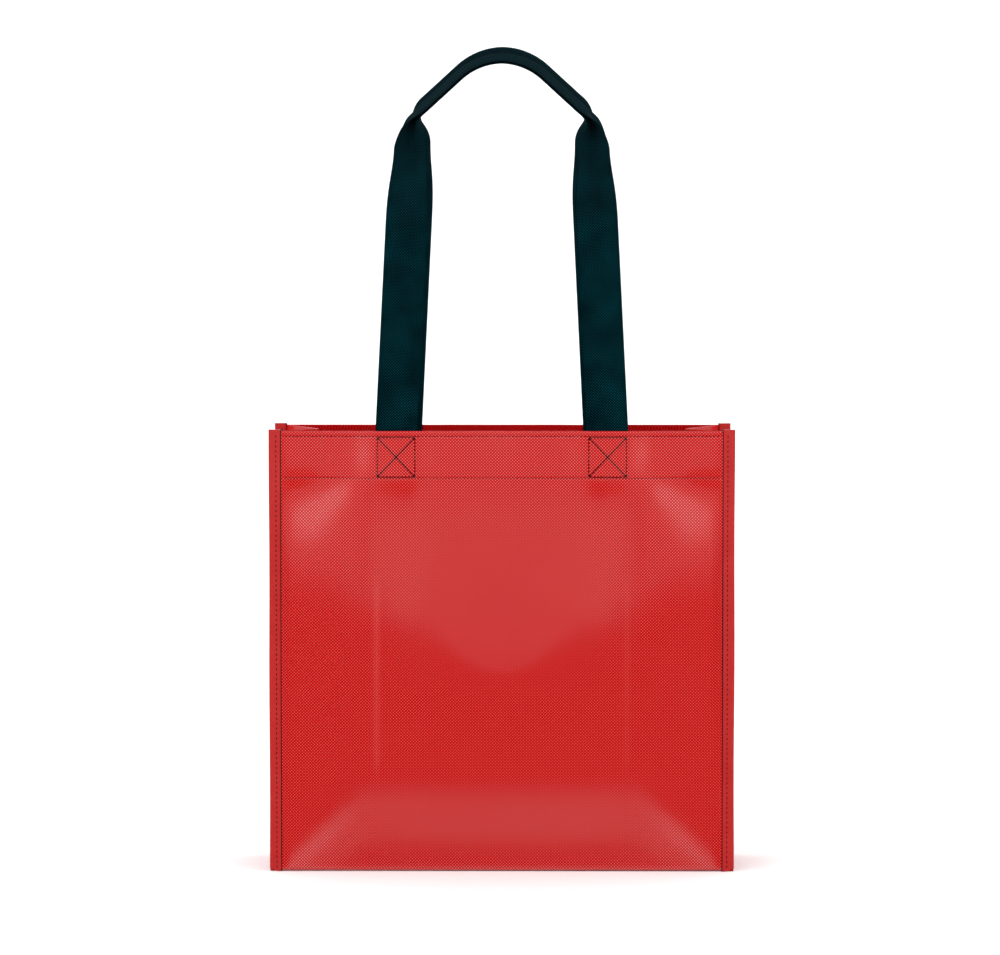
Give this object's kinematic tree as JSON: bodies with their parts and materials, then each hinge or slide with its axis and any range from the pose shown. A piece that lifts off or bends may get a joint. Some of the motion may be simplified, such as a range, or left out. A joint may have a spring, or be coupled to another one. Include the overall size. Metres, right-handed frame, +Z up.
{
  "type": "gift bag",
  "caption": "Upright gusseted fabric gift bag with bound side seams, a hemmed mouth, two webbing handles with folded grips and a loose base board.",
  "frame": {"origin": "middle of the base, on the surface the bag stands on", "axes": "+Z up from base to handles, +X to the right seen from the front, the front panel faces -Y"},
  "size_m": [0.394, 0.112, 0.6985],
  "materials": {
    "red_nonwoven": "satin",
    "binding_tape": "satin",
    "strap_webbing": "satin",
    "red_thread": "matte",
    "black_thread": "matte",
    "greyboard": "matte"
  },
  "bodies": {
    "bag_base": {"bottom_panel": "red_nonwoven", "left_bottom_binding": "binding_tape", "left_bottom_binding_stitching": "red_thread", "left_gusset": "red_nonwoven", "left_gusset_stitching": "red_thread", "right_bottom_binding": "binding_tape", "right_bottom_binding_stitching": "red_thread", "right_gusset": "red_nonwoven", "right_gusset_stitching": "red_thread"},
    "front_wall": {"front_hem_stitching": "red_thread", "front_left_binding": "binding_tape", "front_left_binding_stitching": "red_thread", "front_left_box_stitching": "black_thread", "front_panel": "red_nonwoven", "front_right_binding": "binding_tape", "front_right_binding_stitching": "red_thread", "front_right_box_stitching": "black_thread", "front_strap_ends": "strap_webbing", "front_top_stitching": "red_thread"},
    "back_wall": {"back_hem_stitching": "red_thread", "back_left_binding": "binding_tape", "back_left_binding_stitching": "red_thread", "back_left_box_stitching": "black_thread", "back_panel": "red_nonwoven", "back_right_binding": "binding_tape", "back_right_binding_stitching": "red_thread", "back_right_box_stitching": "black_thread", "back_strap_ends": "strap_webbing", "back_top_stitching": "red_thread"},
    "front_loop": {"front_grip_stitching": "black_thread", "front_handle": "strap_webbing"},
    "back_loop": {"back_grip_stitching": "black_thread", "back_handle": "strap_webbing"},
    "board": {"base_board": "greyboard"}
  },
  "joints": [
    {"name": "front_wall_lean", "type": "hinge", "parent": "bag_base", "child": "front_wall", "pos_m": [0, -0.0496, 0.0008], "axis": [1, 0, 0], "range_deg": [-1.6, 1.1], "deforming": ["left_gusset", "right_gusset", "left_gusset_stitching", "right_gusset_stitching"]},
    {"name": "back_wall_lean", "type": "hinge", "parent": "bag_base", "child": "back_wall", "pos_m": [0, 0.0496, 0.0008], "axis": [-1, 0, 0], "range_deg": [-1.6, 1.1], "deforming": ["left_gusset", "right_gusset", "left_gusset_stitching", "right_gusset_stitching"]},
    {"name": "front_handle_swing", "type": "hinge", "parent": "front_wall", "child": "front_loop", "pos_m": [0, -0.0491, 0.375], "axis": [1, 0, 0], "range_deg": [-3, 170]},
    {"name": "back_handle_swing", "type": "hinge", "parent": "back_wall", "child": "back_loop", "pos_m": [0, 0.0491, 0.375], "axis": [-1, 0, 0], "range_deg": [-3, 170]},
    {"name": "base_board_tilt", "type": "hinge", "parent": "bag_base", "child": "board", "pos_m": [0, 0.0455, 0.0009], "axis": [-1, 0, 0], "range_deg": [0, 70]}
  ]
}
